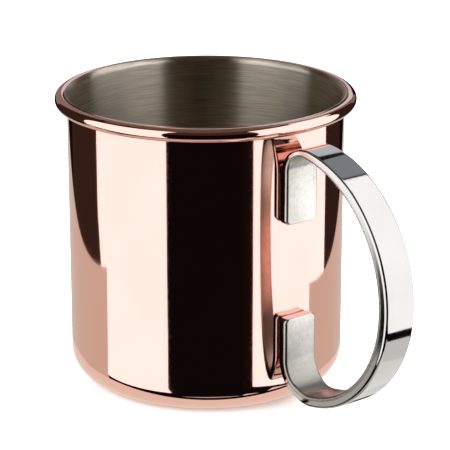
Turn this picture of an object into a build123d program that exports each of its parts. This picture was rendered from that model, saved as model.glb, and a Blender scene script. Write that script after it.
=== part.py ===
from build123d import *
import math
import os

# Copper mug: a straight copper cup with a rolled rim, a steel liner nested in it, and one
# bent steel strap welded to the wall as its handle. Millimetres. The cup's axis is Z, the
# mug stands on Z = 0, and the handle reaches out along +X.

# The cup's overall sizes
CUP_DIAMETER = 85.0      # across the outside of the straight copper wall
CUP_HEIGHT = 90.2        # from the table to the top of the rolled rim

# The two sheets, nested face to face
COPPER_SHEET = 0.4
STEEL_SHEET = 0.4

# The base: a flat standing ring around a stamped panel that sits a little higher
BASE_CORNER = 8.6        # outside radius between the standing ring and the wall
RING_WIDTH = 3.0         # flat width of the standing ring
PANEL_RISE = 1.0         # from the table to the underside of the panel
PANEL_BEND = 1.5         # outside radius where the panel turns down
RING_BEND = 1.5          # outside radius where the step meets the standing ring

# The rolled rim: the copper wall turned outward into a hollow bead
BEAD_RADIUS = 2.05
CURL_CLEARANCE = 0.3     # between the end of the curl and the wall it returns to
LIP_ROUND = 0.15         # softened inner edge of the steel lip on the bead

# The handle strap
STRAP_WIDTH = 10.8       # across the bow
TAB_WIDTH = 11.8         # across the tabs, which are pressed a little wider
NECK_RADIUS = 20.0       # plan radius of the two arcs between the two widths
BOW_THICKNESS = 4.0      # at the outermost point
UPPER_THICKNESS = 2.4    # where the strap comes level at the top
LOWER_THICKNESS = 3.3    # where the strap comes level at the bottom
TAB_THICKNESS = 3.4
STRAP_EDGE = 0.85        # radius along its long edges
TAB_CORNER = 1.5         # radius of the two corners at each free end
HANDLE_REACH = 47.0      # from the cup's wall to the strap's outermost face
HANDLE_RIM_GAP = 6.3     # from the top of the rim down to the top of the strap
HANDLE_FOOT_GAP = 5.4    # from the table up to the underside of the strap
WIDEST_SHARE = 0.485     # height of the outermost point, as a share of the strap's height
UPPER_BEND = 5.7         # inner radius of the bend at the top
UPPER_BACK = 10.0        # outer radius of the bend at the top
LOWER_BEND = 8.5         # inner radius of the bend at the bottom
LOWER_BACK = 12.1        # outer radius of the bend at the bottom
UPPER_TAB = 16.4         # straight inner face of the upper tab
LOWER_TAB = 12.7         # straight inner face of the lower tab

# The spot welds between each flat tab and the round wall
WELD_GAP = 0.2           # from the wall to the tab along the tab's middle
NUGGET_DIAMETER = 4.4
NUGGET_SPACING = 6.4     # between the two nuggets of a tab

wall_radius = CUP_DIAMETER / 2
bead_height = CUP_HEIGHT - BEAD_RADIUS
tab_back = wall_radius + WELD_GAP


def trace(start, heading, moves):
    """Edges of straight runs (length, 0) and tangent arcs (radius, turn in degrees)."""
    point = Vector(*start)
    tangent = Vector(*heading)
    edges = []
    for size, turn in moves:
        if turn:
            edges.append(JernArc(point, tangent, size, turn))
        elif size:
            edges.append(Line(point, point + tangent * size))
        point = edges[-1] @ 1
        tangent = edges[-1] % 1
    return edges


def cup_face(depth, curl):
    """Half section of the cup at a depth in from the outer copper face."""
    step = math.degrees(math.acos(1 - PANEL_RISE / (PANEL_BEND + RING_BEND)))
    step_width = (PANEL_BEND + RING_BEND) * math.sin(math.radians(step))
    panel_radius = wall_radius - BASE_CORNER - RING_WIDTH - step_width
    moves = [
        (panel_radius, 0),
        (PANEL_BEND + depth, -step),
        (RING_BEND - depth, step),
        (RING_WIDTH, 0),
        (BASE_CORNER - depth, 90),
        (bead_height - BASE_CORNER, 0),
        (BEAD_RADIUS - COPPER_SHEET + depth, -curl),
    ]
    return trace((0, PANEL_RISE + depth), (1, 0), moves)


def cup_sheet(outer_depth, inner_depth, curl):
    """One sheet of the cup, between two depths, with its rim curled outward."""
    outer = cup_face(outer_depth, curl)
    inner = cup_face(inner_depth, curl)
    on_axis = Line(outer[0] @ 0, inner[0] @ 0)
    rim_end = Line(outer[-1] @ 1, inner[-1] @ 1)
    section = make_face([*outer, rim_end, *inner, on_axis])
    return section, rim_end


def copper_shell():
    """Outer cup, curled until the sheet's edge comes back to the wall."""
    past_wall = COPPER_SHEET + CURL_CLEARANCE
    curl = 360 - math.degrees(math.acos(1 - past_wall / BEAD_RADIUS))
    section, _ = cup_sheet(0, COPPER_SHEET, curl)
    return revolve(Plane.XZ * section, Axis.Z)


def steel_liner():
    """Inner cup, whose lip follows the bead until it is level with the bead's top."""
    lip = math.degrees(math.asin(BEAD_RADIUS / (BEAD_RADIUS + STEEL_SHEET)))
    section, rim_end = cup_sheet(COPPER_SHEET, COPPER_SHEET + STEEL_SHEET, lip)
    corner = section.vertices().sort_by_distance(rim_end @ 1)[0]
    section = fillet(corner, LIP_ROUND)
    return revolve(Plane.XZ * section, Axis.Z)


def half_bow(reach, drop, bend):
    """Moves from a bend at the wall to the outermost point: bend, level run, sweep.

    A half that reaches out further than it is tall gets a level run; any other has none,
    and its bend turns past level so that the sweep still meets the outermost point.
    """
    level = max(0, reach - bend - drop)
    across = reach - bend - level
    along = drop - bend
    sweep_radius = (across**2 + along**2 - bend**2) / (2 * (across - bend))
    turn = math.degrees(math.atan2(along, across - sweep_radius))
    return [(bend, -turn), (level, 0), (sweep_radius, turn - 180)]


strap_top = CUP_HEIGHT - HANDLE_RIM_GAP
strap_bottom = HANDLE_FOOT_GAP
strap_outside = wall_radius + HANDLE_REACH
widest_height = strap_bottom + WIDEST_SHARE * (strap_top - strap_bottom)
upper_bend_start = strap_top - UPPER_THICKNESS - UPPER_BEND
lower_bend_end = strap_bottom + LOWER_THICKNESS + LOWER_BEND
upper_tab_end = upper_bend_start - UPPER_TAB
lower_tab_end = lower_bend_end + LOWER_TAB


def strap_face(tab_plane, top, outside, bottom, upper_bend, lower_bend):
    """Side view of one face of the strap, from the upper tab's free end to the lower's."""
    upper_half = half_bow(outside - tab_plane, top - widest_height, upper_bend)
    lower_half = half_bow(outside - tab_plane, widest_height - bottom, lower_bend)
    upper_tab = top - upper_bend - upper_tab_end
    lower_tab = lower_tab_end - bottom - lower_bend
    moves = [(upper_tab, 0), *upper_half, *reversed(lower_half), (lower_tab, 0)]
    return trace((tab_plane, upper_tab_end), (0, 1), moves)


def strap_side():
    """Side view of the strap, between its two faces."""
    back = strap_face(
        tab_back, strap_top, strap_outside, strap_bottom, UPPER_BACK, LOWER_BACK
    )
    front = strap_face(
        tab_back + TAB_THICKNESS,
        strap_top - UPPER_THICKNESS,
        strap_outside - BOW_THICKNESS,
        strap_bottom + LOWER_THICKNESS,
        UPPER_BEND,
        LOWER_BEND,
    )
    ends = [Line(back[end] @ at, front[end] @ at) for end, at in ((0, 0), (-1, 1))]
    return make_face([*back, *front, *ends])


def strap_plan():
    """The strap seen from above: wide at the tabs, with a slight neck out to the bow."""
    step = (TAB_WIDTH - STRAP_WIDTH) / 2
    neck_turn = math.degrees(math.acos(1 - step / (2 * NECK_RADIUS)))
    edges = trace(
        (tab_back, -TAB_WIDTH / 2),
        (1, 0),
        [
            (TAB_THICKNESS, 0),
            (NECK_RADIUS, neck_turn),
            (NECK_RADIUS, -neck_turn),
            (HANDLE_REACH, 0),
        ],
    )
    half = make_face([*edges, *rest_of_half(edges)])
    return half + mirror(half, Plane.XZ)


def rest_of_half(edges):
    """Closes a plan of the strap's near half along its centre line."""
    start = edges[0] @ 0
    end = edges[-1] @ 1
    corners = [start, (start.X, 0, 0), (end.X, 0, 0), end]
    return [Line(a, b) for a, b in zip(corners, corners[1:])]


def handle_strap():
    """One flat strap: tab, bend, two sweeps, bend, tab, with rounded corners on the tabs."""
    from_side = extrude(Plane.XZ * strap_side(), TAB_WIDTH, both=True)
    from_above = extrude(strap_plan(), CUP_HEIGHT)
    strap = from_above & from_side
    free_ends = strap.faces().filter_by(Axis.Z)
    end_edges = [edge for face in free_ends for edge in face.edges()]
    long_edges = [edge for edge in strap.edges() if follows(edge, end_edges)]
    strap = fillet(long_edges, STRAP_EDGE)
    for end_height, into_tab in ((upper_tab_end, 1), (lower_tab_end, -1)):
        for side in (-1, 1):
            strap -= tab_corner(end_height, into_tab, side)
    return strap


def follows(edge, end_edges):
    """True for an edge that runs the strap's way, not across it or round a free end."""
    across = abs((edge % 0.5).Y) > 0.9
    return not across and not any(edge.is_same(other) for other in end_edges)


def tab_corner(end_height, into_tab, side):
    """What a rounded corner takes off a tab's free end."""
    middle = Pos(
        tab_back + TAB_THICKNESS / 2,
        side * (TAB_WIDTH / 2 - TAB_CORNER),
        end_height + into_tab * TAB_CORNER,
    )
    depth = 2 * TAB_THICKNESS
    toward_corner = Pos(0, side * TAB_CORNER, -into_tab * TAB_CORNER)
    block = Box(depth, 2 * TAB_CORNER, 2 * TAB_CORNER)
    round_bar = Rot(0, 90, 0) * Cylinder(TAB_CORNER, 2 * depth)
    return middle * (toward_corner * block - round_bar)


def spot_welds(tab_middle):
    """The two nuggets of a tab, from the round wall to the tab's flat back."""
    bar_length = wall_radius / 2
    nuggets = []
    for step in (-0.5, 0.5):
        height = tab_middle + step * NUGGET_SPACING
        bar = Rot(0, 90, 0) * Cylinder(NUGGET_DIAMETER / 2, bar_length)
        bar = Pos(tab_back - bar_length / 2, 0, height) * bar
        nuggets.append(bar - Cylinder(wall_radius, 4 * CUP_HEIGHT))
    return Compound(children=[solid for nugget in nuggets for solid in nugget.solids()])


parts = {
    "copper_shell": copper_shell(),
    "steel_liner": steel_liner(),
    "handle_strap": handle_strap(),
    "upper_spot_welds": spot_welds(upper_bend_start - UPPER_TAB / 2),
    "lower_spot_welds": spot_welds(lower_bend_end + LOWER_TAB / 2),
}

os.makedirs("parts", exist_ok=True)
for name, shape in parts.items():
    export_step(shape, f"parts/{name}.step")
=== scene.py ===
import math

import bmesh
import bpy
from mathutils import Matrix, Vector

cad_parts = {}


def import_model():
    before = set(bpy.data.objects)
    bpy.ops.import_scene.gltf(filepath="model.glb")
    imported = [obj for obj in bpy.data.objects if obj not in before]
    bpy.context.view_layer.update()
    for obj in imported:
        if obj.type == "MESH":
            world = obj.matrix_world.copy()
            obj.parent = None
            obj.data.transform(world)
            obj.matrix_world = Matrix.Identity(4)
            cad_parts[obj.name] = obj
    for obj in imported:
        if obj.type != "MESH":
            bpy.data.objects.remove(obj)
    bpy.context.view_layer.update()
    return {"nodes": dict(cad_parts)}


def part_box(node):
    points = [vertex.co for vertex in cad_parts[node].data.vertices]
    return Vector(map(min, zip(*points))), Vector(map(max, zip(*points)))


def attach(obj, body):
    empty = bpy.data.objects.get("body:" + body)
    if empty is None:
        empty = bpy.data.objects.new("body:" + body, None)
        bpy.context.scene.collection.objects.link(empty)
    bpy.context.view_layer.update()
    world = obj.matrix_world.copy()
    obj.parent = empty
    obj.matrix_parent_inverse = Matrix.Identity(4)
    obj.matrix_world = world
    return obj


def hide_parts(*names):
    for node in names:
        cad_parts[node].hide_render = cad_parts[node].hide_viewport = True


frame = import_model()

# ---------------------------------------------------------------------------------------
# Sizes, in metres. The outside sizes come from the frame, the sheet and strap sizes here.
# ---------------------------------------------------------------------------------------
MM = 0.001
COPPER_SHEET = 0.4 * MM
STEEL_SHEET = 0.4 * MM
BEAD_RADIUS = 2.05 * MM
CURL_CLEARANCE = 0.3 * MM
BASE_CORNER = 8.6 * MM
RING_WIDTH = 3.0 * MM
PANEL_RISE = 1.0 * MM
PANEL_BEND = 1.5 * MM
RING_BEND = 1.5 * MM

STRAP_WIDTH = 10.8 * MM
NECK_RADIUS = 20.0 * MM
TAB_THICKNESS = 3.4 * MM
UPPER_THICKNESS = 2.4 * MM
BOW_THICKNESS = 4.0 * MM
LOWER_THICKNESS = 3.3 * MM
STRAP_EDGE = 0.85 * MM
TAB_EDGE = 0.3 * MM
TAB_CORNER = 1.5 * MM
UPPER_BEND = 5.7 * MM
UPPER_BACK = 10.0 * MM
LOWER_BEND = 8.5 * MM
LOWER_BACK = 12.1 * MM
UPPER_TAB = 16.4 * MM
LOWER_TAB = 12.7 * MM
WIDEST_SHARE = 0.485

_, cup_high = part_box("copper_shell")
strap_low, strap_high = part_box("handle_strap")
tab_width = strap_high.y - strap_low.y
cup_height = cup_high.z
wall_radius = cup_high.x - 2 * BEAD_RADIUS + COPPER_SHEET
bead_height = cup_height - BEAD_RADIUS

# Mesh fineness
TURNS = 240              # facets round the cup
ARC_STEP = 4.0           # degrees between the points of an arc
SWEEP_STEPS = 36         # points along each of the strap's arcs
EDGE_STEPS = 8           # points round each of the strap's long edges
TAB_END_STEPS = 10       # points round a tab's corners
HOLD = 0.3 * MM          # a point this near each end of a straight run keeps it straight
WELD_DISTANCE = 0.001 * MM


# ---------------------------------------------------------------------------------------
# Node helpers, for geometry and shader trees alike
# ---------------------------------------------------------------------------------------
def add(tree, kind, inputs=(), **settings):
    """A new node with its settings, and its inputs linked or set."""
    node = tree.nodes.new(kind)
    for name, value in settings.items():
        setattr(node, name, value)
    for name, value in dict(inputs).items():
        if isinstance(value, bpy.types.NodeSocket):
            tree.links.new(value, node.inputs[name])
        else:
            node.inputs[name].default_value = value
    return node


def calc(tree, operation, *values):
    """The output of a maths node."""
    return add(tree, "ShaderNodeMath", enumerate(values), operation=operation).outputs[0]


def geometry_tree(name, sizes):
    """A geometry tree with named inputs: (name, socket type) pairs after the geometry."""
    tree = bpy.data.node_groups.new(name, "GeometryNodeTree")
    tree.interface.new_socket("Geometry", in_out="INPUT", socket_type="NodeSocketGeometry")
    for label, kind in sizes:
        tree.interface.new_socket(label, in_out="INPUT", socket_type=kind)
    tree.interface.new_socket("Geometry", in_out="OUTPUT", socket_type="NodeSocketGeometry")
    return tree, tree.nodes.new("NodeGroupInput")


def line_object(name, points, closed=False):
    """A mesh object with one line through the points, or round them when closed."""
    line = bpy.data.meshes.new(name)
    steps = [(index, index + 1) for index in range(len(points) - 1)]
    if closed:
        steps.append((len(points) - 1, 0))
    line.from_pydata([(x, 0, z) for x, z in points], steps, [])
    carrier = bpy.data.objects.new(name, line)
    bpy.context.scene.collection.objects.link(carrier)
    return carrier


def bake(name, points, tree, values, numbers=None):
    """A mesh object: the line through the points, with its numbers, worked on by the tree."""
    carrier = line_object(name + "_line", points)
    for label, row in (numbers or {}).items():
        carrier.data.attributes.new(label, "FLOAT", "POINT").data.foreach_set("value", row)
    modifier = carrier.modifiers.new(tree.name, "NODES")
    modifier.node_group = tree
    for socket in tree.interface.items_tree:
        if socket.in_out == "INPUT" and socket.name in values:
            modifier[socket.identifier] = values[socket.name]
    depsgraph = bpy.context.evaluated_depsgraph_get()
    mesh = bpy.data.meshes.new_from_object(carrier.evaluated_get(depsgraph))
    mesh.name = name
    carrier.modifiers.remove(modifier)
    bpy.data.objects.remove(carrier)
    piece = bpy.data.objects.new(name, mesh)
    bpy.context.scene.collection.objects.link(piece)
    face_outwards(mesh)
    return piece


def face_outwards(mesh):
    """Turns every face of a closed mesh outwards."""
    shell = bmesh.new()
    shell.from_mesh(mesh)
    bmesh.ops.recalc_face_normals(shell, faces=shell.faces)
    shell.to_mesh(mesh)
    shell.free()


# ---------------------------------------------------------------------------------------
# Outlines
# ---------------------------------------------------------------------------------------
def trace(start, heading, moves, arc_steps=None):
    """Points of straight runs (length, 0) and tangent arcs (radius, turn in degrees)."""
    x, z = start
    angle = math.radians(heading)
    points = [(x, z)]
    for size, turn in moves:
        if turn:
            side = math.copysign(size, turn)
            centre_x = x - side * math.sin(angle)
            centre_z = z + side * math.cos(angle)
            steps = arc_steps or max(2, math.ceil(abs(turn) / ARC_STEP))
            for step in range(1, steps + 1):
                swept = angle + math.radians(turn) * step / steps
                points.append((centre_x + side * math.sin(swept), centre_z - side * math.cos(swept)))
            angle = swept
        elif size:
            for along in (HOLD, size - HOLD, size):
                points.append((x + along * math.cos(angle), z + along * math.sin(angle)))
        x, z = points[-1]
    return points


def cup_moves(depth, curl):
    """Runs and arcs of the cup's section at a depth in from its outer face."""
    step = math.degrees(math.acos(1 - PANEL_RISE / (PANEL_BEND + RING_BEND)))
    step_width = (PANEL_BEND + RING_BEND) * math.sin(math.radians(step))
    panel_radius = wall_radius - BASE_CORNER - RING_WIDTH - step_width
    return [
        (panel_radius, 0),
        (PANEL_BEND + depth, -step),
        (RING_BEND - depth, step),
        (RING_WIDTH, 0),
        (BASE_CORNER - depth, 90),
        (bead_height - BASE_CORNER, 0),
        (BEAD_RADIUS - COPPER_SHEET + depth, -curl),
    ]


def sheet_outline(outer_depth, inner_depth, curl):
    """Half section of one sheet, from the axis round its rounded rim edge and back."""
    round_edge = ((inner_depth - outer_depth) / 2, 180)
    outer_moves = [*cup_moves(outer_depth, curl), round_edge]
    outer = trace((0, PANEL_RISE + outer_depth), 0, outer_moves)
    inner = trace((0, PANEL_RISE + inner_depth), 0, cup_moves(inner_depth, curl))
    return [*outer, *reversed(inner[:-1])]


def half_bow(reach, drop, bend):
    """Moves from a bend at the wall to the strap's outermost point."""
    level = max(0, reach - bend - drop)
    across = reach - bend - level
    along = drop - bend
    sweep_radius = (across**2 + along**2 - bend**2) / (2 * (across - bend))
    turn = math.degrees(math.atan2(along, across - sweep_radius))
    return [(bend, -turn), (level, 0), (sweep_radius, turn - 180)]


def strap_face(ends, plane, top, outside, bottom, upper_bend, lower_bend):
    """Side view of one face of the strap between the heights of its two free ends."""
    widest = strap_low.z + WIDEST_SHARE * (strap_high.z - strap_low.z)
    upper_half = half_bow(outside - plane, top - widest, upper_bend)
    lower_half = half_bow(outside - plane, widest - bottom, lower_bend)
    upper_tab = top - upper_bend - ends[0]
    lower_tab = ends[1] - bottom - lower_bend
    moves = [(upper_tab, 0), *upper_half, *reversed(lower_half), (lower_tab, 0)]
    return trace((plane, ends[0]), 90, moves, SWEEP_STEPS)


def strap_faces():
    """The strap's back, against the wall at the tabs, and its front, in facing pairs."""
    back_plane = strap_low.x
    front_plane = back_plane + TAB_THICKNESS
    front_top = strap_high.z - UPPER_THICKNESS
    front_bottom = strap_low.z + LOWER_THICKNESS
    front_outside = strap_high.x - BOW_THICKNESS
    ends = (front_top - UPPER_BEND - UPPER_TAB, front_bottom + LOWER_BEND + LOWER_TAB)
    back_bends = (strap_high.x, strap_low.z, UPPER_BACK, LOWER_BACK)
    front_bends = (front_outside, front_bottom, UPPER_BEND, LOWER_BEND)
    back = strap_face(ends, back_plane, strap_high.z, *back_bends)
    front = strap_face(ends, front_plane, front_top, *front_bends)
    back_between, front_between = [face[2:-2] for face in (back, front)]    # without the free ends
    near = tab_end_distances()
    upper = [[(plane, ends[0] + gap) for gap in near] for plane in (back_plane, front_plane)]
    lower = [[(plane, ends[1] - gap) for gap in near] for plane in (back_plane, front_plane)]
    return list(zip(
        [*upper[0], *back_between, *reversed(lower[0])],
        [*upper[1], *front_between, *reversed(lower[1])],
    ))


def tab_end_distances():
    """Distances from a tab's free end, close together where its corners are round."""
    turns = [math.pi / 2 * step / TAB_END_STEPS for step in range(TAB_END_STEPS + 1)]
    shares = [1 - math.cos(turn) for turn in turns]
    distances = {share * radius for share in shares for radius in (TAB_CORNER, TAB_EDGE)}
    kept = []
    for distance in sorted(distances):
        if not kept or distance - kept[-1] > 2 * WELD_DISTANCE:
            kept.append(distance)
    return kept


def inset(distance, radius):
    """How far a round corner of this radius stands in, at a distance from its edge."""
    short = max(0, radius - distance)
    return radius - math.sqrt(radius**2 - short**2)


def strap_width(x):
    """Full width of the strap at a distance from the cup's axis: wide tabs, then a neck."""
    step = (tab_width - STRAP_WIDTH) / 2
    half_turn = math.acos(1 - step / (2 * NECK_RADIUS))
    neck = 2 * NECK_RADIUS * math.sin(half_turn)
    out = min(max(x - strap_low.x - TAB_THICKNESS, 0), neck)
    if out < neck / 2:
        return tab_width - 2 * (NECK_RADIUS - math.sqrt(NECK_RADIUS**2 - out**2))
    return STRAP_WIDTH + 2 * (NECK_RADIUS - math.sqrt(NECK_RADIUS**2 - (neck - out) ** 2))


def strap_line():
    """The strap's middle line, with its thickness and width along the way."""
    pairs = strap_faces()
    points = []
    facing = []
    thickness = []
    width = []
    for back, front in pairs:
        across = Vector(front) - Vector(back)
        middle = (Vector(front) + Vector(back)) / 2
        points.append(tuple(middle))
        facing.append(across.normalized())
        thickness.append(across.length)
        width.append(strap_width(middle.x))
    along = [0.0]
    for first, second in zip(points, points[1:]):
        along.append(along[-1] + math.dist(first, second))
    for index, travelled in enumerate(along):
        to_end = min(travelled, along[-1] - travelled)
        thickness[index] -= 2 * inset(to_end, TAB_EDGE)
        width[index] -= 2 * inset(to_end, TAB_CORNER)
    numbers = {
        "facing_x": [way.x for way in facing],
        "facing_z": [way.y for way in facing],
        "thickness": thickness,
        "width": width,
    }
    return points, numbers


def strap_section(full_thickness, full_width):
    """Outline of the strap cut straight across: thickness along X, width along Z."""
    flats = [full_thickness - 2 * STRAP_EDGE, full_width - 2 * STRAP_EDGE]
    round_edge = (STRAP_EDGE, 90)
    moves = [(flats[0], 0), round_edge, (flats[1], 0), round_edge] * 2
    start = (-flats[0] / 2, -full_width / 2)
    return trace(start, 0, moves, EDGE_STEPS)[:-1]


# ---------------------------------------------------------------------------------------
# Geometry trees
# ---------------------------------------------------------------------------------------
def lathe_tree():
    """Turns a half section, drawn in the XZ plane, round the Z axis."""
    sizes = (
        ("Turning radius", "NodeSocketFloat"),
        ("Facets round", "NodeSocketInt"),
        ("Weld distance", "NodeSocketFloat"),
        ("Finish", "NodeSocketMaterial"),
    )
    tree, given = geometry_tree("lathe", sizes)
    size = given.outputs
    inward = calc(tree, "MULTIPLY", size["Turning radius"], -1)
    shift = add(tree, "ShaderNodeCombineXYZ", {"X": inward}).outputs[0]
    line = add(tree, "GeometryNodeMeshToCurve", {"Mesh": size["Geometry"]}).outputs[0]
    section = add(tree, "GeometryNodeTransform", {
        "Geometry": line,
        "Translation": shift,
        "Rotation": (math.pi / 2, 0, 0),
    })
    circle = add(tree, "GeometryNodeCurvePrimitiveCircle", {
        "Resolution": size["Facets round"],
        "Radius": size["Turning radius"],
    })
    upright = add(tree, "GeometryNodeSetCurveNormal", {"Curve": circle.outputs[0]}, mode="Z_UP")
    turned = add(tree, "GeometryNodeCurveToMesh", {
        "Curve": upright.outputs[0],
        "Profile Curve": section.outputs[0],
    })
    welded = add(tree, "GeometryNodeMergeByDistance", {
        "Geometry": turned.outputs[0],
        "Distance": size["Weld distance"],
    })
    finish_tree(tree, welded.outputs[0], size["Finish"])
    return tree


def strap_tree():
    """Sweeps a rounded rectangle along the strap's line, to its thickness and width there."""
    sizes = (
        ("Section", "NodeSocketObject"),
        ("Full width", "NodeSocketFloat"),
        ("Full thickness", "NodeSocketFloat"),
        ("Edge radius", "NodeSocketFloat"),
        ("Finish", "NodeSocketMaterial"),
    )
    tree, given = geometry_tree("strap", sizes)
    size = given.outputs
    path = add(tree, "GeometryNodeMeshToCurve", {"Mesh": size["Geometry"]}).outputs[0]
    middle = split_position(tree)
    path = named(tree, path, "middle_x", middle["X"])
    path = named(tree, path, "middle_z", middle["Z"])
    drawn = add(tree, "GeometryNodeObjectInfo", {"Object": size["Section"]})
    section = add(tree, "GeometryNodeMeshToCurve", {"Mesh": drawn.outputs["Geometry"]}).outputs[0]
    corner = split_position(tree)
    section = named(tree, section, "depth", corner["X"])
    section = named(tree, section, "across", corner["Z"])
    profile = add(tree, "GeometryNodeTransform", {
        "Geometry": section,
        "Rotation": (-math.pi / 2, 0, 0),
    }).outputs[0]
    swept = add(tree, "GeometryNodeCurveToMesh", {
        "Curve": path,
        "Profile Curve": profile,
        "Fill Caps": True,
    })
    depth = resized(tree, size, "depth", size["Full thickness"], "thickness")
    across = resized(tree, size, "across", size["Full width"], "width")
    step_x = calc(tree, "MULTIPLY", depth, value_of(tree, "facing_x"))
    step_z = calc(tree, "MULTIPLY", depth, value_of(tree, "facing_z"))
    place = add(tree, "ShaderNodeCombineXYZ", {
        "X": calc(tree, "ADD", value_of(tree, "middle_x"), step_x),
        "Y": across,
        "Z": calc(tree, "ADD", value_of(tree, "middle_z"), step_z),
    })
    placed = add(tree, "GeometryNodeSetPosition", {
        "Geometry": swept.outputs[0],
        "Position": place.outputs[0],
    })
    finish_tree(tree, placed.outputs[0], size["Finish"])
    return tree


def split_position(tree):
    """X, Y and Z of where a point is."""
    place = add(tree, "GeometryNodeInputPosition").outputs[0]
    return add(tree, "ShaderNodeSeparateXYZ", {"Vector": place}).outputs


def resized(tree, size, name, full, wanted):
    """A place in the full section, moved to the wanted size with its round edges kept."""
    radius = size["Edge radius"]
    flat = calc(tree, "SUBTRACT", calc(tree, "MULTIPLY", full, 0.5), radius)
    below_flat = calc(tree, "MULTIPLY", flat, -1)
    place = value_of(tree, name)
    clamp = add(tree, "ShaderNodeClamp", {"Value": place, "Min": below_flat, "Max": flat})
    core = clamp.outputs[0]
    past = calc(tree, "SUBTRACT", place, core)
    half = calc(tree, "MULTIPLY", value_of(tree, wanted), 0.5)
    share = calc(tree, "DIVIDE", calc(tree, "SUBTRACT", half, radius), flat)
    return calc(tree, "ADD", calc(tree, "MULTIPLY", core, share), past)


def named(tree, geometry, name, value):
    """Stores a number on the geometry's points."""
    stored = add(tree, "GeometryNodeStoreNamedAttribute", {
        "Geometry": geometry,
        "Name": name,
        "Value": value,
    }, data_type="FLOAT", domain="POINT")
    return stored.outputs[0]


def value_of(tree, name):
    """A number that was stored on the geometry's points."""
    node = add(tree, "GeometryNodeInputNamedAttribute", {"Name": name}, data_type="FLOAT")
    return node.outputs["Attribute"]


def finish_tree(tree, geometry, finish):
    """Ends a tree: shaded smooth, made one real mesh, and given its finish."""
    smooth = add(tree, "GeometryNodeSetShadeSmooth", {"Geometry": geometry})
    real = add(tree, "GeometryNodeRealizeInstances", {"Geometry": smooth.outputs[0]})
    painted = add(tree, "GeometryNodeSetMaterial", {
        "Geometry": real.outputs[0],
        "Material": finish,
    })
    add(tree, "NodeGroupOutput", {"Geometry": painted.outputs[0]})


# ---------------------------------------------------------------------------------------
# Finishes. Each pair of colours or roughnesses is what a pattern moves between.
# ---------------------------------------------------------------------------------------
COPPER_COLOURS = ((0.95, 0.54, 0.455), (0.955, 0.565, 0.48))
COPPER_ROUGHNESS = (0.035, 0.075)
COPPER_WAVE = 0.05 * MM
BUFFED_FINENESS = 900            # lines to the metre, roughly
BUFFED_DRIFT = 6                 # how much the lines change on the way round

LINING_COLOURS = ((0.41, 0.36, 0.29), (0.76, 0.675, 0.55))
LINING_ROUGHNESS = (0.37, 0.28)
LINING_GROOVE = 0.005 * MM
BRUSHED_FINENESS = 2600
BRUSHED_DRIFT = 3
QUARTER_TURN = 0.25              # the sheen spreads across the brushed lines, not along them

POLISHED_COLOURS = ((0.57, 0.555, 0.505), (0.61, 0.595, 0.55))
POLISHED_ROUGHNESS = (0.05, 0.09)
SATIN_COLOURS = ((0.14, 0.13, 0.10), (0.80, 0.775, 0.70))
SATIN_ROUGHNESS = (0.26, 0.38)
SATIN_GRAIN = 0.01 * MM
SATIN_STARTS = 0.2 * MM          # from the strap's middle line towards its inner face
SATIN_WHOLE = 1.6 * MM
GRAIN_SHARE = 0.45               # of the tabs' mottling, the rest is cloud
MOTTLE_RANGE = (0.38, 0.56)      # the middle range of the mottling's pattern
MOTTLE_BRIGHTNESS = 0.6
# Painted shade on the satin face: darker towards the strap's foot and along its near edge
PAINTED_SHADE_HEIGHTS = (9 * MM, 30 * MM)
PAINTED_FOOT_SHADE = 0.35
PAINTED_SHADE_SIDES = (-5 * MM, 2 * MM)
PAINTED_EDGE_SHADE = 0.72

WELD_COLOURS = ((0.30, 0.27, 0.25), (0.50, 0.47, 0.44))
WELD_ROUGHNESS = (0.4, 0.6)

# Places of the mix node's two inputs and its result, which share their names
MIX_SOCKETS = {"RGBA": (6, 7, 2), "FLOAT": (2, 3, 0)}


def metal(name):
    """A metal's material, its tree, its shader and its Object coordinates."""
    material = bpy.data.materials.new(name)
    material.use_nodes = True
    tree = material.node_tree
    shader = tree.nodes["Principled BSDF"]
    shader.inputs["Metallic"].default_value = 1.0
    place = add(tree, "ShaderNodeTexCoord").outputs["Object"]
    return material, tree, shader, place


def noise(tree, place, scale, detail, roughness=0.5):
    """A soft cloud at a small scale, a grain at a large one."""
    node = add(tree, "ShaderNodeTexNoise", {
        "Vector": place,
        "Scale": scale,
        "Detail": detail,
        "Roughness": roughness,
    })
    return node.outputs["Fac"]


def spread(tree, value, low, high, start=0.3, end=0.7):
    """Maps a pattern's middle range onto low to high."""
    node = add(tree, "ShaderNodeMapRange", {
        "Value": value,
        "From Min": start,
        "From Max": end,
        "To Min": low,
        "To Max": high,
    })
    return node.outputs[0]


def mix(tree, kind, share, first, second):
    """Between two colours or two numbers, by a share from 0 to 1."""
    low, high, made = MIX_SOCKETS[kind]
    node = add(tree, "ShaderNodeMix", {"Factor": share, low: first, high: second}, data_type=kind)
    return node.outputs[made]


def tint(tree, value, first, second):
    """A colour between two fixed ones."""
    return mix(tree, "RGBA", value, (*first, 1), (*second, 1))


def bump(tree, shader, height, distance):
    """Makes a metal's surface uneven, by up to a distance."""
    node = add(tree, "ShaderNodeBump", {"Height": height, "Distance": distance})
    tree.links.new(node.outputs[0], shader.inputs["Normal"])


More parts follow.
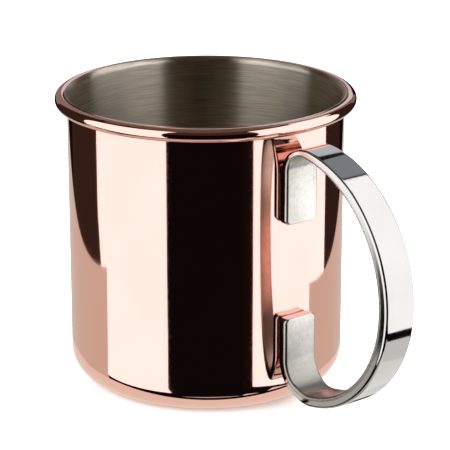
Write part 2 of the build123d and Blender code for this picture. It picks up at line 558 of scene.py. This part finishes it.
def lines_round(tree, place, fineness, drift):
    """A pattern of fine lines round the axis, on wall and base alike."""
    split = add(tree, "ShaderNodeSeparateXYZ", {"Vector": place})
    flat = add(tree, "ShaderNodeCombineXYZ", {"X": split.outputs["X"], "Y": split.outputs["Y"]})
    radius = add(tree, "ShaderNodeVectorMath", {0: flat.outputs[0]}, operation="LENGTH")
    direction = add(tree, "ShaderNodeVectorMath", {0: flat.outputs[0]}, operation="NORMALIZE")
    side = add(tree, "ShaderNodeSeparateXYZ", {"Vector": direction.outputs["Vector"]})
    line = calc(tree, "SUBTRACT", split.outputs["Z"], radius.outputs["Value"])
    made = add(tree, "ShaderNodeCombineXYZ", {
        "X": calc(tree, "MULTIPLY", side.outputs["X"], drift),
        "Y": calc(tree, "MULTIPLY", side.outputs["Y"], drift),
        "Z": calc(tree, "MULTIPLY", line, fineness),
    })
    return noise(tree, made.outputs[0], scale=1.0, detail=4, roughness=0.6)


def round_tangent(tree, place):
    """The direction round the axis, which the brushing follows."""
    split = add(tree, "ShaderNodeSeparateXYZ", {"Vector": place})
    turned = add(tree, "ShaderNodeCombineXYZ", {
        "X": calc(tree, "MULTIPLY", split.outputs["Y"], -1),
        "Y": split.outputs["X"],
    })
    unit = add(tree, "ShaderNodeVectorMath", {0: turned.outputs[0]}, operation="NORMALIZE")
    return unit.outputs["Vector"]


def polished_copper():
    """Mirror-bright, with faint buffing lines and a slow unevenness of the sheet."""
    material, tree, shader, place = metal("polished_copper")
    cloud = noise(tree, place, scale=45, detail=3)
    colour = tint(tree, spread(tree, cloud, 0, 1), *COPPER_COLOURS)
    tree.links.new(colour, shader.inputs["Base Color"])
    buffing = lines_round(tree, place, BUFFED_FINENESS, BUFFED_DRIFT)
    tree.links.new(spread(tree, buffing, *COPPER_ROUGHNESS), shader.inputs["Roughness"])
    waves = noise(tree, place, scale=28, detail=1)
    bump(tree, shader, waves, COPPER_WAVE)
    return material


def brushed_steel():
    """Brushed round the axis, so that the light draws out into upright bands."""
    material, tree, shader, place = metal("brushed_steel_lining")
    lines = lines_round(tree, place, BRUSHED_FINENESS, BRUSHED_DRIFT)
    colour = tint(tree, spread(tree, lines, 0, 1), *LINING_COLOURS)
    tree.links.new(colour, shader.inputs["Base Color"])
    tree.links.new(spread(tree, lines, *LINING_ROUGHNESS), shader.inputs["Roughness"])
    shader.inputs["Anisotropic"].default_value = 1.0
    shader.inputs["Anisotropic Rotation"].default_value = QUARTER_TURN
    tree.links.new(round_tangent(tree, place), shader.inputs["Tangent"])
    bump(tree, shader, lines, LINING_GROOVE)
    return material


def painted_shade(tree, place):
    """Painted shade on the satin face: its colour darker towards the foot of the strap and along its
    near edge.
    """
    split = add(tree, "ShaderNodeSeparateXYZ", {"Vector": place})
    height = split.outputs["Z"]
    side = split.outputs["Y"]
    foot = spread(tree, height, PAINTED_FOOT_SHADE, 1, *PAINTED_SHADE_HEIGHTS)
    near_edge = spread(tree, side, PAINTED_EDGE_SHADE, 1, *PAINTED_SHADE_SIDES)
    return calc(tree, "MULTIPLY", foot, near_edge)


def strap_steel():
    """Mirror-polished on the outside of the bow, turning satin towards its inner face."""
    material, tree, shader, place = metal("strap_steel")
    depth = add(tree, "ShaderNodeAttribute", attribute_name="depth").outputs["Fac"]
    satin = add(tree, "ShaderNodeMapRange", {
        "Value": depth,
        "From Min": SATIN_STARTS,
        "From Max": SATIN_WHOLE,
    }, interpolation_type="SMOOTHSTEP").outputs[0]
    grain = noise(tree, place, scale=900, detail=4, roughness=0.7)
    cloud = noise(tree, place, scale=60, detail=3)
    polished_roughness = spread(tree, cloud, *POLISHED_ROUGHNESS)
    satin_roughness = spread(tree, grain, *SATIN_ROUGHNESS)
    roughness = mix(tree, "FLOAT", satin, polished_roughness, satin_roughness)
    tree.links.new(roughness, shader.inputs["Roughness"])
    polished_colour = tint(tree, spread(tree, cloud, 0, 1), *POLISHED_COLOURS)
    grain_part = calc(tree, "MULTIPLY", grain, GRAIN_SHARE)
    cloud_part = calc(tree, "MULTIPLY", cloud, 1 - GRAIN_SHARE)
    pattern = calc(tree, "ADD", grain_part, cloud_part)
    mottle = spread(tree, pattern, MOTTLE_BRIGHTNESS, 1, *MOTTLE_RANGE)
    # the satin colour carries painted shade, darker at the strap's foot and along its near edge
    satin_colour = tint(tree, calc(tree, "MULTIPLY", mottle, painted_shade(tree, place)), *SATIN_COLOURS)
    colour = mix(tree, "RGBA", satin, polished_colour, satin_colour)
    tree.links.new(colour, shader.inputs["Base Color"])
    bump(tree, shader, calc(tree, "MULTIPLY", grain, satin), SATIN_GRAIN)
    return material


def weld_metal():
    """Dull grey metal, left as it comes from the weld."""
    material, tree, shader, place = metal("weld_metal")
    grain = noise(tree, place, scale=1200, detail=4, roughness=0.7)
    colour = tint(tree, spread(tree, grain, 0, 1), *WELD_COLOURS)
    tree.links.new(colour, shader.inputs["Base Color"])
    tree.links.new(spread(tree, grain, *WELD_ROUGHNESS), shader.inputs["Roughness"])
    return material


# ---------------------------------------------------------------------------------------
# The mug
# ---------------------------------------------------------------------------------------
def own(piece, node):
    """The piece stands for a CAD node: it joins the root body and the node is hidden."""
    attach(piece, "root")
    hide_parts(node)


def cup_sheet(name, node, outline, finish):
    """One of the cup's two sheets, turned from its outline."""
    piece = bake(name, outline, lathe, {
        "Turning radius": wall_radius,
        "Facets round": TURNS,
        "Weld distance": WELD_DISTANCE,
        "Finish": finish,
    })
    own(piece, node)


lathe = lathe_tree()
both_sheets = COPPER_SHEET + STEEL_SHEET
past_wall = COPPER_SHEET + CURL_CLEARANCE + COPPER_SHEET / 2
curl = 360 - math.degrees(math.acos(1 - past_wall / BEAD_RADIUS))
lip = math.degrees(math.asin((BEAD_RADIUS - STEEL_SHEET / 2) / (BEAD_RADIUS + STEEL_SHEET / 2)))
copper_outline = sheet_outline(0, COPPER_SHEET, curl)
steel_outline = sheet_outline(COPPER_SHEET, both_sheets, lip)
cup_sheet("copper_cup", "copper_shell", copper_outline, polished_copper())
cup_sheet("steel_lining", "steel_liner", steel_outline, brushed_steel())

strap_points, strap_numbers = strap_line()
section = line_object("strap_section", strap_section(BOW_THICKNESS, tab_width), closed=True)
strap = bake("steel_strap", strap_points, strap_tree(), {
    "Section": section,
    "Full width": tab_width,
    "Full thickness": BOW_THICKNESS,
    "Edge radius": STRAP_EDGE,
    "Finish": strap_steel(),
}, strap_numbers)
bpy.data.objects.remove(section)
own(strap, "handle_strap")

welds = weld_metal()
for node in ("upper_spot_welds", "lower_spot_welds"):
    frame["nodes"][node].data.materials.clear()
    frame["nodes"][node].data.materials.append(welds)

# ---------------------------------------------------------------------------------------
# Camera: above the rim's height and to the left of the handle
# ---------------------------------------------------------------------------------------
CAMERA_TURN = math.radians(51.75)       # round the cup's axis, from straight in front
CAMERA_RISE = math.radians(18.3)
CAMERA_DISTANCE = 0.6615
CAMERA_LENS = 169.6
SENSOR_WIDTH = 36
AIM_TO_THE_RIGHT = 5.9 * MM
AIM_HEIGHT = 46.66 * MM

toward = Vector((math.sin(CAMERA_TURN), -math.cos(CAMERA_TURN), 0))
rightward = Vector((math.cos(CAMERA_TURN), math.sin(CAMERA_TURN), 0))
upward = Vector((0, 0, 1))
aim = rightward * AIM_TO_THE_RIGHT + upward * AIM_HEIGHT
view_line = toward * math.cos(CAMERA_RISE) + upward * math.sin(CAMERA_RISE)
camera_data = bpy.data.cameras.new("camera")
camera_data.lens = CAMERA_LENS
camera_data.sensor_width = SENSOR_WIDTH
camera = bpy.data.objects.new("camera", camera_data)
camera.location = aim + view_line * CAMERA_DISTANCE
camera.rotation_euler = (-view_line).to_track_quat("-Z", "Y").to_euler()
bpy.context.scene.collection.objects.link(camera)
bpy.context.scene.camera = camera


# ---------------------------------------------------------------------------------------
# Studio. Turns are degrees round the mug from the camera's side, positive to its right.
# Rises are degrees above level.
# ---------------------------------------------------------------------------------------
SOFT_LIGHT = 2.4                 # the white all round, for everything but reflections
UNLIT = (0.0045, 0.0035, 0.004)  # what the metal mirrors where no panel stands
SOFTBOX_COLOUR = (1.0, 1.0, 1.06)
SOFTBOX_RADIANCE = 1.55

FLOOR_HALF = 2.0
FLOOR_DROP = 0.05 * MM
FLOOR_COLOURS = ((0.93, 0.93, 0.93), (0.95, 0.95, 0.95))
FLOOR_ROUGHNESS = 0.8

# The mirrored table: a pad under the base with a dark edge, and the rear behind the mug
PAD_WIDE = 55 * MM
PAD_DEEP = 44 * MM
PAD_SHIFT = -2 * MM
PAD_STEP = 4                     # degrees between the points of the pad's outline
PAD_EDGE = 1.05
PAD_LIFT = 0.02 * MM
PAD_COLOUR = (1.0, 1.0, 0.93)
PAD_GLOW = 0.82
REAR_LEFT = (-45.3, -90.6, 153 * MM)    # turns of its start and edge, and how far it goes
REAR_RIGHT = (48.3, 96.7, 135 * MM)
REAR_DEEP = 600 * MM
REAR_LIFT = 0.01 * MM
REAR_COLOUR = (1.0, 0.97, 0.87)
REAR_GLOW = 0.63
BLACK = (0.0, 0.0, 0.0)

# The far panels and their colours
PANEL_AWAY = 2500 * MM
PANEL_STEP = 6                   # degrees between the points of a panel
COOL = (0.85, 0.9, 1.0)
COOL_CORNER = (0.85, 0.92, 1.1)
WARM = (1.0, 0.82, 0.74)
WARM_WHITE = (1.0, 0.85, 0.78)
CEILING_WARM = (1.0, 0.82, 0.72)
CREAM = (1.0, 0.98, 0.95)
RUDDY = (1.0, 0.6, 0.5)
RUDDY_FRONT = (1.0, 0.65, 0.55)
TABLE_WHITE = (0.985, 0.99, 1.0)
TABLE_FAR_WHITE = (0.98, 0.99, 1.0)
TABLE_CREAM = (1.0, 0.985, 0.96)


def direction(turn):
    return toward * math.cos(math.radians(turn)) + rightward * math.sin(math.radians(turn))


def softbox(name, facing, turns, rises, distance):
    """An upright soft light square to one direction, that fills these turns.

    Its rises are those of its edges seen from the mug in the direction it faces.
    """
    outward = direction(facing)
    sideways = direction(facing + 90)
    first, last = [distance * math.tan(math.radians(turn - facing)) for turn in turns]
    bottom, top = [distance * math.tan(math.radians(rise)) for rise in rises]
    light = bpy.data.lights.new(name, "AREA")
    light.shape = "RECTANGLE"
    light.size = abs(last - first)
    light.size_y = top - bottom
    light.color = SOFTBOX_COLOUR
    light.energy = SOFTBOX_RADIANCE * math.pi * light.size * light.size_y
    box = bpy.data.objects.new(name, light)
    middle = outward * distance + sideways * (first + last) / 2
    box.location = middle + upward * (AIM_HEIGHT + (top + bottom) / 2)
    box.rotation_euler = (-outward).to_track_quat("-Z", "Y").to_euler()
    box.visible_camera = False
    bpy.context.scene.collection.objects.link(box)


def glowing(name, colour, strength):
    """A material that only gives light."""
    material = bpy.data.materials.new(name)
    material.use_nodes = True
    tree = material.node_tree
    tree.nodes.remove(tree.nodes["Principled BSDF"])
    glow = add(tree, "ShaderNodeEmission", {"Color": (*colour, 1), "Strength": strength})
    tree.links.new(glow.outputs[0], tree.nodes["Material Output"].inputs["Surface"])
    return material


def sheet_of(name, points, faces, material):
    """A sheet of the studio, which is no part of the mug."""
    mesh = bpy.data.meshes.new(name)
    mesh.from_pydata([tuple(point) for point in points], [], faces)
    mesh.materials.append(material)
    sheet = bpy.data.objects.new(name, mesh)
    bpy.context.scene.collection.objects.link(sheet)
    return sheet


def for_metal_only(sheet):
    """Leaves a sheet to reflections alone: it isn't seen, lights nothing and casts no shadow."""
    sheet.visible_camera = False
    sheet.visible_diffuse = False
    sheet.visible_shadow = False


def floor():
    material = bpy.data.materials.new("pale_floor")
    material.use_nodes = True
    tree = material.node_tree
    shader = tree.nodes["Principled BSDF"]
    place = add(tree, "ShaderNodeTexCoord").outputs["Object"]
    colour = tint(tree, noise(tree, place, scale=6, detail=2), *FLOOR_COLOURS)
    tree.links.new(colour, shader.inputs["Base Color"])
    shader.inputs["Roughness"].default_value = FLOOR_ROUGHNESS
    signs = ((-1, -1), (1, -1), (1, 1), (-1, 1))
    corners = [(x * FLOOR_HALF, y * FLOOR_HALF, -FLOOR_DROP) for x, y in signs]
    sheet = sheet_of("floor", corners, [range(len(corners))], material)
    sheet.visible_glossy = False


def world():
    """White to the eye and for soft light, dark where the metal mirrors the studio."""
    studio = bpy.data.worlds.new("studio")
    bpy.context.scene.world = studio
    studio.use_nodes = True
    tree = studio.node_tree
    white = add(tree, "ShaderNodeBackground", {"Color": (1, 1, 1, 1), "Strength": SOFT_LIGHT})
    dark = add(tree, "ShaderNodeBackground", {"Color": (*UNLIT, 1)})
    ray = add(tree, "ShaderNodeLightPath")
    mixed = add(tree, "ShaderNodeMixShader", {
        0: ray.outputs["Is Glossy Ray"],
        1: white.outputs[0],
        2: dark.outputs[0],
    })
    tree.links.new(mixed.outputs[0], tree.nodes["World Output"].inputs["Surface"])


def mirrored_table():
    """The pale table as the metal sees it: a pad under the base, and a deep rear."""
    pad = []
    for step in range(0, 360, PAD_STEP):
        turn = math.radians(step)
        across = PAD_SHIFT + PAD_WIDE * math.sin(turn)
        pad.append(toward * PAD_DEEP * math.cos(turn) + rightward * across)
    ends = []
    for start_turn, edge_turn, side in (REAR_LEFT, REAR_RIGHT):
        start = direction(start_turn) * wall_radius
        edge = direction(edge_turn)
        reach = (side - abs(start.dot(rightward))) / abs(edge.dot(rightward))
        ends.append((start, start + edge * reach))
    (left, left_far), (right, right_far) = ends
    rear = [
        left,
        left_far,
        left_far - toward * (REAR_DEEP + left_far.dot(toward)),
        right_far - toward * (REAR_DEEP + right_far.dot(toward)),
        right_far,
        right,
    ]
    edge = [point * PAD_EDGE for point in pad]
    for name, outline, lift, glow in (
        ("table_pad", pad, PAD_LIFT, glowing("pad_glow", PAD_COLOUR, PAD_GLOW)),
        ("table_rear", rear, REAR_LIFT, glowing("table_glow", REAR_COLOUR, REAR_GLOW)),
        ("table_edge", edge, 0.0, glowing("edge_gloom", BLACK, 0)),
    ):
        points = [point + upward * lift for point in outline]
        for_metal_only(sheet_of(name, points, [range(len(points))], glow))


def panel(name, turns, rises, colour, strength):
    """A far glowing panel that only the metal sees, between two turns and two rises."""
    wide = max(1, math.ceil(abs(turns[1] - turns[0]) / PANEL_STEP))
    tall = max(1, math.ceil(abs(rises[1] - rises[0]) / PANEL_STEP))
    points = []
    for row in range(tall + 1):
        rise = math.radians(rises[0] + (rises[1] - rises[0]) * row / tall)
        for column in range(wide + 1):
            turn = turns[0] + (turns[1] - turns[0]) * column / wide
            point = direction(turn) * math.cos(rise) + upward * math.sin(rise)
            points.append(point * PANEL_AWAY)
    faces = []
    for row in range(tall):
        for column in range(wide):
            corner = row * (wide + 1) + column
            faces.append((corner, corner + 1, corner + wide + 2, corner + wide + 1))
    for_metal_only(sheet_of(name, points, faces, glowing(name + "_glow", colour, strength)))


def mirrored_room():
    """What the metal mirrors above and beyond the table: name, turns, rises, colour, glow."""
    panel("softbox_wing", (116.5, 135), (36, 58), SOFTBOX_COLOUR, SOFTBOX_RADIANCE)
    panel("far_wall", (160, 184), (14, 37), COOL, 0.8)
    panel("far_wall_left", (184, 216), (0, 46), WARM, 0.26)
    panel("far_wall_right", (146, 160), (0, 36), WARM_WHITE, 0.2)
    panel("ceiling", (-180, 180), (62, 90), CEILING_WARM, 0.12)
    panel("rear_ceiling", (163, 250), (50, 62), WARM_WHITE, 0.16)
    panel("rear_corner", (137.5, 163), (39, 62), COOL_CORNER, 0.36)
    panel("low_left", (-107, -97), (-32, -21.5), CREAM, 0.6)
    panel("left_gloom", (-144, -100), (-21, 48), RUDDY, 0.035)
    panel("right_gloom", (116.5, 146), (-30, 36), RUDDY, 0.03)
    panel("front_gloom", (-35, 42), (20, 62), RUDDY_FRONT, 0.05)
    panel("front_corner", (31, 39.2), (-30, 20), RUDDY, 0.008)
    panel("table_right", (39.5, 190), (-80, -47), TABLE_WHITE, 1.05)
    panel("table_right_far", (62, 190), (-47, -35.5), TABLE_FAR_WHITE, 0.88)
    panel("table_under", (-170, 39.5), (-85, -52), TABLE_CREAM, 0.6)


floor()
world()
mirrored_table()
softbox("left_softbox", facing=-31.5, turns=(-31, -100), rises=(-40, 60), distance=0.7)
softbox("right_softbox", facing=82, turns=(39.2, 116), rises=(-30.5, 58), distance=1.1)
mirrored_room()
bpy.context.scene.view_settings.view_transform = "Standard"

bpy.context.view_layer.update()
